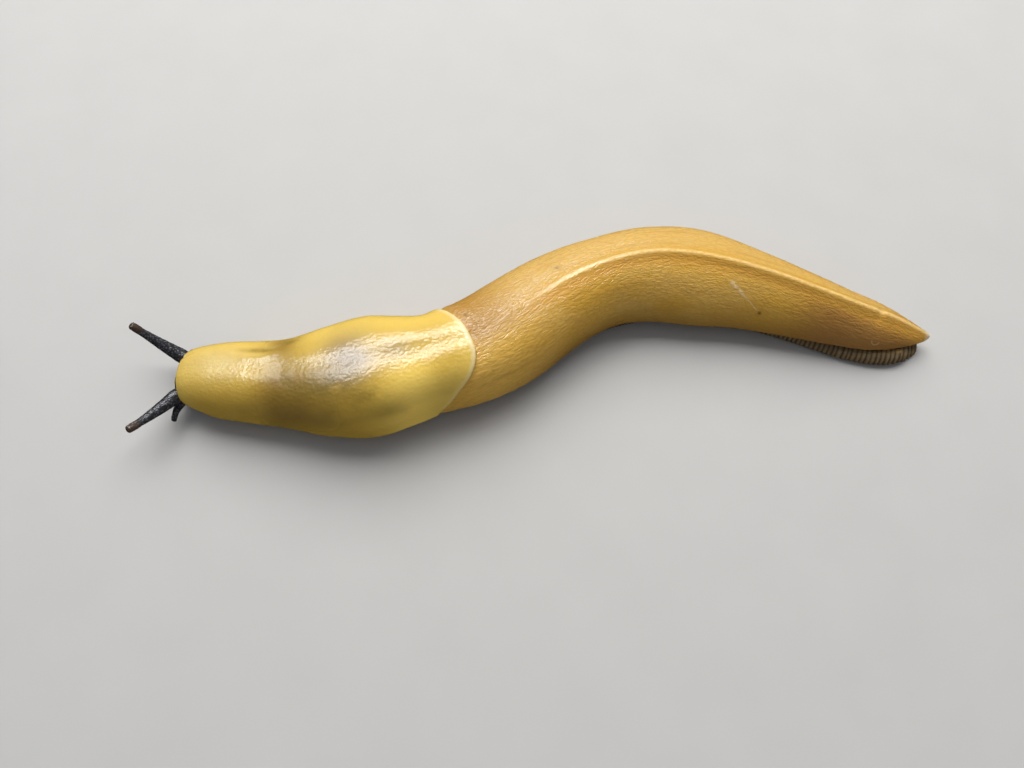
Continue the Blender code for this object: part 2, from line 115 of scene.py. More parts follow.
# The valley between hood and shield, and the furrows that the mantle's folds leave: points (s, a),
# depth and reach. A negative depth is a swelling.
furrows = {
    "valley": ([(28.5, -8), (27, -3), (25.5, 1.5), (24, 5.5)], 0.26, 3.2),
    "rightFold": ([(13.5, 4.4), (17.5, 4.2), (21, 4.6), (24.5, 6), (27.5, 8.2)], 0.26, 0.85),
    "rightFoldSwell": ([(16, 2.6), (20, 2.9), (23, 3.6)], -0.22, 1),
    "shieldDimple": ([(50, -3.5), (56, -1.5)], 0.22, 3.2),
    "hoodNick": ([(0.2, 3.4), (2.4, 4.2)], 0.3, 0.45),
    "shoulder": ([(31, 6), (36, 8.5)], 0.25, 1.8),
}
furrowsEnd = 60     # none lies past this s


def furrowDepth(s, a):
    depth = np.zeros(np.broadcast(s, a).shape)
    for points, deep, reach in furrows.values():
        near = np.full(depth.shape, 1e9)
        for (s0, a0), (s1, a1) in zip(points, points[1:]):
            long = (s1 - s0) ** 2 + (a1 - a0) ** 2
            u = np.clip(((s - s0) * (s1 - s0) + (a - a0) * (a1 - a0)) / long, 0, 1)
            near = np.minimum(near, (s - s0 - u * (s1 - s0)) ** 2 + (a - a0 - u * (a1 - a0)) ** 2)
        depth += deep * np.exp(-near / reach ** 2)
    return depth


def waistHeight(height):
    return slug["bodyFloor"] + slug["waist"] * (height - slug["bodyFloor"])


def sectionPoint(s, t, halfWidth, height):
    # side and height on a rounded section
    waist = waistHeight(height)
    power = 2 / curve(slug["roundness"], s)
    side = np.abs(t)
    turn = np.radians(90 * np.clip(side / slug["waistT"], 0, 1))
    low = np.radians(90 * np.clip((side - slug["waistT"]) / (1 - slug["waistT"]), 0, 1))
    tuck = slug["footJoint"] * halfWidth
    upper = side <= slug["waistT"]
    a = np.where(upper, halfWidth * np.sin(turn) ** power, tuck + (halfWidth - tuck) * np.cos(low))
    z = np.where(upper, waist + (height - waist) * np.clip(np.cos(turn), 0, 1) ** power,
                 waist - (waist - slug["bodyFloor"]) * np.sin(low))
    return a * np.sign(t), z


def shareUp(z, waist, height):
    # 0 at the waist and below, 1 on top
    return np.clip((z - waist) / (height - waist), 0, 1)


def outlinePoint(s, t):
    # the slug's whole outline, with the keel, its lean and the furrows
    height = curve(slug["height"], s)
    waist = waistHeight(height)
    a, z = sectionPoint(s, t, curve(slug["halfWidth"], s), height)
    furrow = np.where(s < furrowsEnd, furrowDepth(s, a), 0) * blendStep(shareUp(z, waist, height), 0, 0.5)
    notchS, notchReach, notchDeep = slug["notch"]
    keelRise = curve(slug["keelRise"], s) - notchDeep * np.exp(-((s - notchS) / notchReach) ** 2)
    keel = keelRise * np.exp(-(a / slug["keelWidth"]) ** 2)
    z = z + np.where(z > waist, keel - furrow, 0)
    return a + curve(slug["keelLean"], s) * shareUp(z, waist, height) ** 2, z


def insetPoint(s, t, depth):
    # a point of the outline, moved inward by depth
    a, z = outlinePoint(s, t)
    middle = np.minimum(z, waistHeight(curve(slug["height"], s)))
    across = a - curve(slug["keelLean"], s) * 0.5
    reach = np.maximum(np.hypot(across, z - middle), 1e-6)
    return a - depth * across / reach, z - depth * (z - middle) / reach


# The mantle: its rear and front edges against the share of the way down the flank, the height of
# its lower edge, and how deep the body lies under it against the distance past its edge.
mantle = {
    "rear": ((-1, 54.8), (-0.86, 58.5), (-0.65, 61.2), (-0.35, 65), (-0.1, 66.8), (0.1, 66.8),
             (0.35, 64.8), (0.65, 61.5), (0.86, 58), (1, 54.5)),
    "lowerEdge": ((0, 7.6), (2, 6.8), (5, 6.2), (10, 5.4), (30, 4.9), (185, 4.9)),
    "cover": ((-9, 2.2), (-4, 1.6), (0, 0.7), (2, 0.3), (4, 0), (300, 0)),
    "lipInside": 1.6,
    "lipBack": 1,
    "rimProud": 0.25,
    "rimReach": 1.6,
    "rimBulge": 0.3,
    "rimSection": ((0.12, 0.7), (0.35, 1), (0.7, 0.8)),   # shares of the way in and of the bulge
    "rearmost": 67,
    "sunk": 0.35,
    "lipThick": 1.15,
    "lipFade": (4, 9),
    "along": 150,       # points along and across
    "across": 95,
    "crowd": 0.8,       # how far the points crowd toward the side edges
}


def mantleEdgeT(s):
    # the t at which a section crosses the mantle's lower edge
    height = curve(slug["height"], s)
    waist = waistHeight(height)
    edge = brokenLine(mantle["lowerEdge"], s)
    drop = np.clip((waist - edge) / (waist - slug["bodyFloor"]), 0, 1)
    below = slug["waistT"] + (1 - slug["waistT"]) * np.degrees(np.arcsin(drop)) / 90
    up = np.clip((edge - waist) / (height - waist), 0, 1)
    over = slug["waistT"] * np.degrees(np.arccos(up ** (curve(slug["roundness"], s) / 2))) / 90
    return np.where(edge < waist, below, over)


def pastMantle(s, t):
    # millimetres past the mantle's edge, negative under it
    rear = curve(mantle["rear"], np.clip(t / np.maximum(mantleEdgeT(s), 0.05), -1, 1))
    low = brokenLine(mantle["lowerEdge"], s) - outlinePoint(s, t)[1]
    near = np.maximum(np.maximum(s - rear, low), -s - mantle["lipInside"])
    return np.where(s > mantle["rearmost"] + 4, s - mantle["rearmost"], near)


def mantleCover(s, t):
    return brokenLine(mantle["cover"], pastMantle(s, t))


def mantleRim(s, t):
    return mantle["rimProud"] * np.exp(-(pastMantle(s, t) / mantle["rimReach"]) ** 2)


# Skin zones, as material slots that only live until the pieces are joined.
zoneNames = ["body", "mantle", "foot", "head", "tentacle"]
zones = [bpy.data.materials.new("zone_" + name) for name in zoneNames]


def newObject(name, data):
    made = bpy.data.objects.new(name, data)
    bpy.context.scene.collection.objects.link(made)
    return made


def readAll(items, name, width=1, kind=np.int32):
    values = np.empty(len(items) * width, kind)
    items.foreach_get(name, values)
    return values


def meshFrom(name, points, faces, places, zone):
    # a mesh with its zone, and each point's (along, across) place as a UV map, 0.01 to a millimetre
    mesh = bpy.data.meshes.new(name)
    mesh.from_pydata(points.reshape(-1, 3).tolist(), [], faces)
    for material in zones:
        mesh.materials.append(material)
    mesh.polygons.foreach_set("material_index", [zoneNames.index(zone)] * len(mesh.polygons))
    layer = mesh.uv_layers.new(name="skinPlace")
    corner = readAll(mesh.loops, "vertex_index")
    layer.uv.foreach_set("vector", (places.reshape(-1, 2)[corner] * 0.01).ravel())
    bm = bmesh.new()
    bm.from_mesh(mesh)
    bmesh.ops.recalc_face_normals(bm, faces=bm.faces)
    bm.to_mesh(mesh)
    bm.free()
    return newObject(name, mesh)


def ringFaces(rings, count):
    # faces between rings of count points, with a fan to one hub point at each end
    hub = rings * count
    last = hub - count
    steps = [(k, (k + 1) % count) for k in range(count)]
    faces = [(i + k, i + j, i + count + j, i + count + k) for i in range(0, last, count) for k, j in steps]
    for k, j in steps:
        faces += [(k, hub, j), (last + k, last + j, hub + 1)]
    return faces


def loftRings(name, grid, along, across, zone):
    # a closed body through a (rings, count, 3) grid
    places = np.stack(np.broadcast_arrays(along, across), -1)
    hubs = np.stack([grid[0].mean(0), grid[-1].mean(0)])
    hubPlaces = np.stack([places[0].mean(0), places[-1].mean(0)])
    points = np.concatenate([grid.reshape(-1, 3), hubs])
    return meshFrom(name, points, ringFaces(grid.shape[0], grid.shape[1]),
                    np.concatenate([places.reshape(-1, 2), hubPlaces]), zone)


def arcAcross(a, z):
    # signed distance round each ring from its middle point, in millimetres
    step = np.hypot(np.diff(a, axis=1), np.diff(z, axis=1))
    along = np.concatenate([np.zeros((len(a), 1)), np.cumsum(step, axis=1)], axis=1)
    return along - along[:, along.shape[1] // 2][:, None]


def mirrored(half):
    return np.concatenate([-half[:0:-1], half])


trunk = {
    "start": 6,
    "nose": 3,        # length over which its front end tapers inside the head
    "noseInset": 2,
    "fineFrom": 47,
    "coarseStep": 1.5,
    "fineStep": 0.5,
    "keelT": 0.085,     # the keel's points lie closer together, up to this t
    "keelPoints": 12,
    "sidePoints": 84,
    "sunkInFoot": 1.1,
    "sunkFrom": (6, 9),
    "sunkTo": (172, 180),
    "underside": 0.92,  # half width of the underside, as a share
    "tipHigh": 0.6,     # the tip closes nearer the top than the middle
    "tipTurns": (0, 25, 50, 70, 85),
}


def makeTrunk():
    tip = slug["length"] - slug["tipRound"] * (1 - np.sin(np.radians(trunk["tipTurns"])))
    fineEnd = slug["length"] - slug["tipRound"] - 0.1
    s = np.concatenate([np.arange(trunk["start"], trunk["fineFrom"], trunk["coarseStep"]),
                        np.arange(trunk["fineFrom"], fineEnd, trunk["fineStep"]), tip])
    half = np.concatenate([np.linspace(0, trunk["keelT"], trunk["keelPoints"], endpoint=False),
                           np.linspace(trunk["keelT"], 1, trunk["sidePoints"])])
    ringS, ringT = np.meshgrid(s, mirrored(half), indexing="ij")
    nose = trunk["noseInset"] * (1 - np.clip((ringS - trunk["start"]) / trunk["nose"], 0, 1))
    a, z = insetPoint(ringS, ringT, mantleCover(ringS, ringT) + nose)
    sunk = trunk["sunkInFoot"] * (1 - blendStep(s, *trunk["sunkTo"])) * blendStep(s, *trunk["sunkFrom"])
    a, z, ringS = withUnderside(a, z, ringS, trunk["underside"], sunk)
    past = np.clip((s - slug["length"]) / slug["tipRound"] + 1, 0, 0.999)
    close = np.sqrt(1 - past ** 2)[:, None]
    middle = (z.mean(1) * (1 - trunk["tipHigh"]) + z.max(1) * trunk["tipHigh"])[:, None]
    grid = bodyPoint(ringS, a * close, middle + (z - middle) * close)
    return loftRings("trunk", grid, ringS, arcAcross(a, z), "body")


def withUnderside(a, z, ringS, share, sunk):
    # each ring closed below by one more point a side, further in and lower by sunk
    a = np.concatenate([a[:, :1] * share, a, a[:, -1:] * share], axis=1)
    z = np.concatenate([(z[:, 0] - sunk)[:, None], z, (z[:, -1] - sunk)[:, None]], axis=1)
    return a, z, np.concatenate([ringS[:, :1], ringS, ringS[:, :1]], axis=1)


def makeMantle():
    share = np.linspace(0, 1, mantle["along"])
    u = np.sin(np.linspace(-90, 90, mantle["across"]) * math.pi / 180 * mantle["crowd"])
    u = u / math.sin(math.pi / 2 * mantle["crowd"])
    gridShare, gridU = np.meshgrid(share, u, indexing="ij")
    front = mantle["lipBack"] * gridU ** 2
    gridS = front + gridShare * (curve(mantle["rear"], gridU) - front)
    gridT = gridU * mantleEdgeT(gridS)
    outerA, outerZ = insetPoint(gridS, gridT, -mantleRim(gridS, gridT))
    thick = mantleCover(gridS, gridT) + mantle["sunk"]
    hood = 1 - blendStep(gridS, *mantle["lipFade"])
    thick = thick * (1 - hood) + np.minimum(thick, mantle["lipThick"]) * hood
    innerA, innerZ = insetPoint(gridS, gridT, thick)
    places = np.stack([gridS, arcAcross(outerA, outerZ)], -1)
    return mantleShell(bodyPoint(gridS, outerA, outerZ), bodyPoint(gridS, innerA, innerZ), places)


def mantleShell(outer, inner, places):
    # a closed shell of two like grids, with a rounded rim all the way round
    rows, columns = outer.shape[:2]
    loop = [(0, k) for k in range(columns)] + [(i, columns - 1) for i in range(1, rows)]
    loop += [(rows - 1, k) for k in range(columns - 2, -1, -1)] + [(i, 0) for i in range(rows - 2, 0, -1)]
    rim = []
    rimPlaces = []
    for i, k in loop:
        back = outer[min(max(i, 1), rows - 2), min(max(k, 1), columns - 2)]
        away = outer[i, k] - back
        away = away / np.linalg.norm(away)
        for part, bulge in mantle["rimSection"]:
            between = outer[i, k] * (1 - part) + inner[i, k] * part
            rim.append(between + away * bulge * mantle["rimBulge"] * mm)
            rimPlaces.append(places[i, k])
    count = rows * columns
    faces = []
    for i in range(rows - 1):
        for k in range(columns - 1):
            corner = i * columns + k
            faces.append((corner, corner + 1, corner + columns + 1, corner + columns))
            faces.append((count + corner, count + corner + columns, count + corner + columns + 1,
                          count + corner + 1))
    steps = len(mantle["rimSection"])
    crossings = []
    for n, (i, k) in enumerate(loop):
        corner = i * columns + k
        crossings.append([corner] + [2 * count + steps * n + r for r in range(steps)] + [count + corner])
    for near, far in zip(crossings, crossings[1:] + crossings[:1]):
        for r in range(steps + 1):
            faces.append((near[r], near[r + 1], far[r + 1], far[r]))
    points = np.concatenate([outer.reshape(-1, 3), inner.reshape(-1, 3), np.array(rim)])
    flat = places.reshape(-1, 2)
    return meshFrom("mantle", points, faces, np.concatenate([flat, flat, np.array(rimPlaces)]), "mantle")


head = {
    "front": -1.9,
    "back": 11,
    "snout": 4.5,       # length over which it narrows toward the front
    "blunt": 2.6,
    "frontShare": 0.07,
    "middle": 5.2,
    "halfWidth": ((-3, 4.8), (0, 5.4), (4, 6.4), (10, 7.2)),
    "height": ((-3, 7), (0, 7.5), (4, 8.5), (10, 10)),
    "merges": (3, 7),   # where it starts to take the body's outline, and over what length
    "backInset": 2,
    "insetFrom": (8, 3),
    "underside": 0.85,
    "sunk": 0.9,
    "sunkFrom": (1.5, 4),
    "sunkTo": (8, 10),
    "lipAt": (-1.1, 1.4, 3.8),
    "lipSize": (1.25, 1.7, 1.55),
    "mouthWidth": 2.4,
    "mouthHeight": 5.2,
    "mouthBend": 0.12,
    "mouthRadius": 0.2,
    "rings": 46,
    "crowd": 1.7,       # the rings crowd toward the front
    "points": 27,
}


def makeHead():
    part = np.linspace(0, 1, head["rings"]) ** head["crowd"]
    s = head["front"] + part * (head["back"] - head["front"])
    ringS, ringT = np.meshgrid(s, mirrored(np.linspace(0, 1, head["points"])), indexing="ij")
    drawn = np.clip((ringS - head["front"]) / head["snout"], 0, 1)
    full = (1 - (1 - drawn) ** head["blunt"]) ** (1 / head["blunt"])
    full = full * (1 - head["frontShare"]) + head["frontShare"]
    inside = np.maximum(ringS, 0)
    a, z = sectionPoint(inside, ringT, curve(head["halfWidth"], ringS), curve(head["height"], ringS))
    a = a * full
    z = head["middle"] + (z - head["middle"]) * full
    back = head["backInset"] * np.clip((ringS - head["insetFrom"][0]) / head["insetFrom"][1], 0, 1)
    neckA, neckZ = insetPoint(inside, ringT, mantleCover(inside, ringT) + back)
    merge = np.clip((ringS - head["merges"][0]) / head["merges"][1], 0, 1)
    a = a + (neckA - a) * merge
    z = z + (neckZ - z) * merge
    sunk = head["sunk"] * blendStep(s, *head["sunkFrom"]) * (1 - blendStep(s, *head["sunkTo"]))
    a, z, ringS = withUnderside(a, z, ringS, head["underside"], sunk)
    return loftRings("headForm", bodyPoint(ringS, a, z), ringS, arcAcross(a, z), "head")


def makeDrop(name, at, size, zone, rings, sides):
    # a closed rounded body about a point (s, a, z), with its half lengths
    turns = np.radians(np.linspace(6, 174, rings))[:, None]
    around = np.linspace(0, 2 * math.pi, sides, endpoint=False)
    s = at[0] - size[0] * np.cos(turns) + 0 * around
    a = at[1] + size[1] * np.sin(turns) * np.cos(around)
    z = at[2] + size[2] * np.sin(turns) * np.sin(around)
    return loftRings(name, bodyPoint(s, a, z), s, a, zone)


def makeLip(side):
    s, a, z = head["lipAt"]
    return makeDrop("lip", (s, side * a, z), head["lipSize"], "head", rings=18, sides=28)


def roundTube(name, points, radii, sides, zone):
    # a closed tube through world points, radii in millimetres
    ahead = np.gradient(points, axis=0)
    ahead /= np.linalg.norm(ahead, axis=1)[:, None]
    across = np.cross(ahead, (0, 0, 1))
    across /= np.linalg.norm(across, axis=1)[:, None]
    over = np.cross(across, ahead)
    turns = np.linspace(0, 2 * math.pi, sides, endpoint=False)
    spread = across[:, None] * np.cos(turns)[None, :, None] + over[:, None] * np.sin(turns)[None, :, None]
    grid = points[:, None] + spread * (np.array(radii) * mm)[:, None, None]
    walked = np.concatenate([[0], np.cumsum(np.linalg.norm(np.diff(points, axis=0), axis=1))]) / mm
    return loftRings(name, grid, walked[:, None], turns, zone)


def makeMouthCutter():
    a = np.linspace(-head["mouthWidth"], head["mouthWidth"], 25)
    bend = head["mouthBend"] * a * a
    points = bodyPoint(head["front"] + bend, a, head["mouthHeight"] - bend)
    return roundTube("mouthCutter", points, [head["mouthRadius"]] * len(a), 10, "head")


# Root in the head, base and tip as (s, a, z), and for each pair the radii at the root, base, waist and
# bulb, the bulb's place as a share of the length, and how far the middle sags.
upper = {"radii": (1.85, 1.7, 0.85, 0.95), "swell": 0.9, "sag": 0.4}
lower = {"radii": (0.95, 0.85, 0.6, 0.65), "swell": 0.8, "sag": -0.3}
tentacles = {
    "upperRight": {"root": (1.2, 4, 4.6), "base": (-1.9, 5.6, 5.6), "tip": (-10.5, 8.6, 14), **upper},
    "upperLeft": {"root": (1.8, -2.6, 4.6), "base": (-0.7, -4.8, 5.8), "tip": (-7.4, -14.8, 10), **upper},
    "lowerRight": {"root": (1.2, 3.6, 4.2), "base": (-0.6, 6.4, 3), "tip": (-1, 8.4, 2), **lower},
    "lowerLeft": {"root": (1.4, -3.6, 4.2), "base": (-0.9, -6.9, 3.3), "tip": (-1.5, -9.4, 2.4), **lower},
}
tentacleShape = {
    "taperEnd": 0.82,
    "bulbReach": 0.09,
    "rings": 60,
    "stubRings": 8,
    "sides": 22,
    "tipLong": 0.6,     # length of the rounded tip, as a share of its radius
    "tipTurns": (15, 35, 55, 75, 86),
    "smoothing": 6,     # turns of smoothing round the bend at the base
    "smoothed": (3, 20),
}


def tentaclePoints(sizes):
    # its root, base and tip, and the way that the tip points
    root, base, tip = (bodyPoint(*np.array(sizes[key], float)) for key in ("root", "base", "tip"))
    ahead = tip - base + np.array([0, 0, 4 * sizes["sag"] * mm])
    return root, base, tip, ahead / np.linalg.norm(ahead)


def makeTentacle(name, sizes):
    shape = tentacleShape
    root, base, tip, ahead = tentaclePoints(sizes)
    u = np.linspace(0, 1, shape["rings"])[:, None]
    arm = base + (tip - base) * u + np.array([0, 0, -sizes["sag"] * mm]) * 4 * u * (1 - u)
    stub = root + (base - root) * np.linspace(0, 1, shape["stubRings"] + 1)[:-1, None]
    deep, wide, waist, bulb = sizes["radii"]
    radius = wide + (waist - wide) * np.minimum(u[:, 0] / shape["taperEnd"], 1)
    radius += (bulb - waist) * np.exp(-((u[:, 0] - sizes["swell"]) / shape["bulbReach"]) ** 2)
    capTurn = np.radians(shape["tipTurns"])
    cap = tip + ahead * np.sin(capTurn)[:, None] * radius[-1] * shape["tipLong"] * mm
    points = np.concatenate([stub, arm, cap])
    radii = np.concatenate([np.linspace(deep, wide, shape["stubRings"]), radius,
                            radius[-1] * np.cos(capTurn)])
    smooth = points.copy()
    for turn in range(shape["smoothing"]):
        smooth[1:-1] = (smooth[:-2] + 2 * smooth[1:-1] + smooth[2:]) / 4
    bend = slice(*shape["smoothed"])
    points[bend] = smooth[bend]
    return roundTube("tentacle" + name, points, radii, shape["sides"], "tentacle")


foot = {
    "halfWidth": ((2.5, 3.4), (6, 6), (12, 7.2), (25, 8.6), (35, 10.6), (45, 11.6), (58, 9.5), (75, 10.6),
                  (95, 9.9), (115, 10), (128, 9.6), (143, 7.7), (150, 7.5), (156, 7.5), (162, 7.6),
                  (166, 7.5), (170, 7.2), (174, 6.7), (178, 5.5), (180, 4.5), (182.5, 2.4)),
    "toSide": ((2.5, 0), (145, 0), (156, -0.2), (162, -0.5), (166, -0.8), (178, -1.2), (182.5, -1)),
    # outward from the half width, and height
    "section": ((-1.2, 0), (-0.45, 0.05), (-0.02, 0.4), (0.2, 0.85), (0.3, 1.35), (0.22, 1.85),
                (0.05, 2.3), (-0.3, 2.75), (-0.8, 3.1), (-1.7, 3.35)),
    "start": 2.5,
    "end": 182.5,
    "step": 0.17,
    "endRound": 0.7,
    "middle": 1,      # height that the ends close toward
    "frontLow": 0.28,   # how much lower the edge is at the ends, as a share
    "frontFade": (2.5, 8),
    "rearLow": 0.45,
    "rearFade": (178, 183),
    "leastSide": 0.15,
    "endTurns": (5, 25, 45, 65),
}


def makeFoot():
    roundOver = foot["endRound"] * np.cos(np.radians(foot["endTurns"]))
    s = np.concatenate([foot["start"] - roundOver, np.arange(foot["start"], foot["end"], foot["step"]),
                        foot["end"] + roundOver[::-1]])
    over = np.maximum(np.maximum(foot["start"] - s, s - foot["end"]), 0) / foot["endRound"]
    close = np.sqrt(1 - np.clip(over, 0, 0.999) ** 2)[:, None]
    out = np.array([pair[0] for pair in foot["section"]])[None]
    up = np.array([pair[1] for pair in foot["section"]])[None]
    lead = 1 - foot["frontLow"] * (1 - blendStep(s, *foot["frontFade"]))
    lead = lead - foot["rearLow"] * blendStep(s, *foot["rearFade"])
    side = np.maximum(curve(foot["halfWidth"], s)[:, None] + out, foot["leastSide"]) * close
    z = foot["middle"] + (up * lead[:, None] - foot["middle"]) * close
    z = np.where(up < 0.1, np.maximum(up, foot["middle"] - close), z)
    a = np.concatenate([side, -side[:, ::-1]], axis=1)
    z = np.concatenate([z, z[:, ::-1]], axis=1)
    ringS = s[:, None] + 0 * a
    grid = bodyPoint(ringS, a + curve(foot["toSide"], ringS), z)
    return loftRings("footForm", grid, ringS, arcAcross(a, z), "foot")


breathingHole = {"s": 48, "t": 0.6, "size": (1.7, 0.9, 0.8)}


def makeBreathingHole():
    s = breathingHole["s"]
    a, z = outlinePoint(np.array(s), np.array(breathingHole["t"]))
    return makeDrop("breathingHole", (s, a, z), breathingHole["size"], "mantle", rings=14, sides=22)


def makePlain(target):
    graph = bpy.context.evaluated_depsgraph_get()
    target.data = bpy.data.meshes.new_from_object(target.evaluated_get(graph))
    target.modifiers.clear()


def fuse(target, others, operation):
    # one Boolean on a collection, applied, with the other pieces then removed
    group = bpy.data.collections.new(target.name + "Group")
    bpy.context.scene.collection.children.link(group)
    for other in others:
        group.objects.link(other)
    step = target.modifiers.new("fuse", "BOOLEAN")
    step.operation = operation
    step.operand_type = "COLLECTION"
    step.collection = group
    step.solver = "MANIFOLD"
    makePlain(target)
    for other in others:
        bpy.data.objects.remove(other)
    bpy.data.collections.remove(group)


def keepLargest(target):
    # drops the small loose bits that a Boolean can leave, and says how many islands there were
    bm = bmesh.new()
    bm.from_mesh(target.data)
    left = set(bm.verts)
    islands = []
    while left:
        edge = {left.pop()}
        island = set(edge)
        while edge:
            edge = {link.other_vert(vert) for vert in edge for link in vert.link_edges} - island
            island |= edge
        left -= island
        islands.append(island)
    islands.sort(key=len)
    for island in islands[:-1]:
        bmesh.ops.delete(bm, geom=list(island), context="VERTS")
    bmesh.ops.triangulate(bm, faces=[face for face in bm.faces if len(face.verts) > 4])
    bm.to_mesh(target.data)
    bm.free()
    return len(islands)


rearEdge = {"side": 0.86, "points": 200, "reach": 2.4}


def rearRim(points):
    # 1 along the mantle's curved rear edge, falling off over a few millimetres
    share = np.linspace(-rearEdge["side"], rearEdge["side"], rearEdge["points"])
    s = curve(mantle["rear"], share)
    a, z = outlinePoint(s, share * mantleEdgeT(s))
    near = np.full(len(points), 1e9)
    for place in bodyPoint(s, a, z) / mm:
        near = np.minimum(near, ((points - place) ** 2).sum(1))
    return 1 / (1 + near / rearEdge["reach"] ** 2)


def cornerMeans(mesh, values):
    # the mean over a vertex's corners of values given per corner
    corner = readAll(mesh.loops, "vertex_index")
    total = np.zeros((len(mesh.vertices), values.shape[1]))
    np.add.at(total, corner, values)
    return total / np.maximum(np.bincount(corner, minlength=len(mesh.vertices)), 1)[:, None]


def spreadOut(mesh, values, times):
    # lets a per-vertex value bleed into its neighbours
    ends = readAll(mesh.edges, "vertices", 2)
    one, two = ends[::2], ends[1::2]
    share = np.bincount(ends, minlength=len(mesh.vertices)) + 1
    for turn in range(times):
        total = values.copy()
        np.add.at(total, one, values[two])
        np.add.at(total, two, values[one])
        values = total / share
    return values


zoneSpread = {"foot": 3, "head": 6, "tentacle": 3}      # how far a zone's mask bleeds past its edge


def storeOnPoints(mesh, name, values, kind="FLOAT", field="value"):
    layer = mesh.attributes.new(name, kind, "POINT")
    layer.data.foreach_set(field, values.astype(np.float32).ravel())


def writeZones(mesh):
    # what the relief and the finish read on each point: its place on the skin in millimetres, how near
    # it is to the mantle's rear edge, and one mask a zone
    corner = readAll(mesh.uv_layers["skinPlace"].uv, "vector", 2, np.float32)
    places = cornerMeans(mesh, corner.reshape(-1, 2).astype(float) * 100)
    storeOnPoints(mesh, "place", np.concatenate([places, 0 * places[:, :1]], 1), "FLOAT_VECTOR", "vector")
    points = readAll(mesh.vertices, "co", 3, np.float32)
    storeOnPoints(mesh, "rearRim", rearRim(points.reshape(-1, 3) / mm))
    zone = np.repeat(readAll(mesh.polygons, "material_index"), readAll(mesh.polygons, "loop_total"))
    masks = cornerMeans(mesh, np.eye(len(zoneNames))[zone])
    for n, name in enumerate(zoneNames):
        storeOnPoints(mesh, name + "Zone", spreadOut(mesh, masks[:, n], zoneSpread.get(name, 0)))


class Wire:
    # a node's output; arithmetic on it adds Math nodes
    def __init__(self, bench, socket):
        self.bench = bench
        self.socket = socket

    def math(self, operation, *others, clamp=False):
        return self.bench.add("ShaderNodeMath", dict(enumerate((self, *others))), operation=operation,
                              use_clamp=clamp)

    def vector(self, operation, *others):
        return self.bench.add("ShaderNodeVectorMath", dict(enumerate((self, *others))), operation=operation)

    def __add__(self, other):
        return self.math("ADD", other)

    def __sub__(self, other):
        return self.math("SUBTRACT", other)

    def __rsub__(self, other):
        return self.bench.add("ShaderNodeMath", {0: other, 1: self}, operation="SUBTRACT")

    def __mul__(self, other):
        return self.math("MULTIPLY", other)

    def __truediv__(self, other):
        return self.math("DIVIDE", other)

    def __pow__(self, other):
        return self.math("POWER", other)

    __radd__ = __add__
    __rmul__ = __mul__

    def clamp(self):
        return self.math("ADD", 0, clamp=True)

    def between(self, low, high):
        # 0 at low and below, 1 at high and above, smooth between
        return self.bench.add("ShaderNodeMapRange", {"Value": self, "From Min": low, "From Max": high},
                              interpolation_type="SMOOTHSTEP")

    def bell(self, centre, reach):
        # 1 at centre, falling off over reach
        away = (self - centre) / reach
        return (away * away * -1).math("EXPONENT")

    def where(self, rule, low, high, depth=1):
        # by one of the rules "rises", "falls" and "bell", from 1 - depth to 1
        share = self.bell(low, high) if rule == "bell" else self.between(low, high)
        if rule == "falls":
            share = 1 - share
        return share if depth == 1 else share * depth + (1 - depth)


class Bench:
    # adds nodes to one tree
    def __init__(self, tree):
        self.tree = tree
        tree.nodes.clear()

    def add(self, kind, sockets=None, out=0, **settings):
        node = self.tree.nodes.new(kind)
        for name, value in settings.items():
            setattr(node, name, value)
        for name, value in (sockets or {}).items():
            if isinstance(value, Wire):
                self.tree.links.new(value.socket, node.inputs[name])
            elif isinstance(value, tuple) and len(value) == 3 and len(node.inputs[name].default_value) == 4:
                node.inputs[name].default_value = (*value, 1)
            else:
                node.inputs[name].default_value = value
        return Wire(self, node.outputs[out]) if node.outputs else None

    def split(self, vector):
        first = self.add("ShaderNodeSeparateXYZ", {0: vector})
        return [Wire(self, output) for output in first.socket.node.outputs]

    def place(self):
        # object coordinates, in metres
        return self.add("ShaderNodeTexCoord", out=3)

    def mix(self, share, one, two):
        return self.add("ShaderNodeMix", {0: share, 6: one, 7: two}, 2, data_type="RGBA")

    def noise(self, vector, scale, detail=3, roughness=0.5):
        return self.add("ShaderNodeTexNoise", {"Vector": vector, "Scale": scale, "Detail": detail,
                                               "Roughness": roughness})

    def cells(self, vector, scale, feature="F1", spread=1):
        return self.add("ShaderNodeTexVoronoi", {"Vector": vector, "Scale": scale, "Randomness": spread},
                        feature=feature)


# The skin's noises: waves a millimetre along and across the back, detail and, where it isn't plain,
# roughness.
skinNoises = {
    "warp": (0.16, 0.16, 2),
    "folds": (0.13, 0.42, 3),
    "ribJitter": (0.55, 0, 1),
    "swell": (0.13, 0.16, 2),
    "grain": (1, 1.3, 3),
    "cross": (1.15, 0.33, 2),
    "wrinkle": (0.45, 1.9, 4, 0.6),
    "cloud": (0.05, 0.09, 4),
    "streak": (0.06, 0.85, 3),
    "ragged": (0.9, 1.4, 3),
    "smudge": (0.16, 0.2, 4, 0.6),
}
# Rows of long cells: how far the rows bend, and how irregular the cells are. The tubercles' size is
# in the relief.
rowPattern = {"bend": 1.6, "spread": 0.85}
dashPattern = {"length": 1.7, "width": 0.5, "bend": 2.4, "spread": 0.9}


def skinFields(bench, place, position, noises):
    # by name, what a tree works with: the place s and across, the height z and the noises
    fields = dict(zip(("s", "across"), bench.split(place)))
    fields["z"] = bench.split(position)[2] * 1000
    for name in noises:
        along, across, *grain = skinNoises[name]
        fields[name] = bench.noise(place.vector("MULTIPLY", (along, across, 0)), 1, *grain)
    return fields


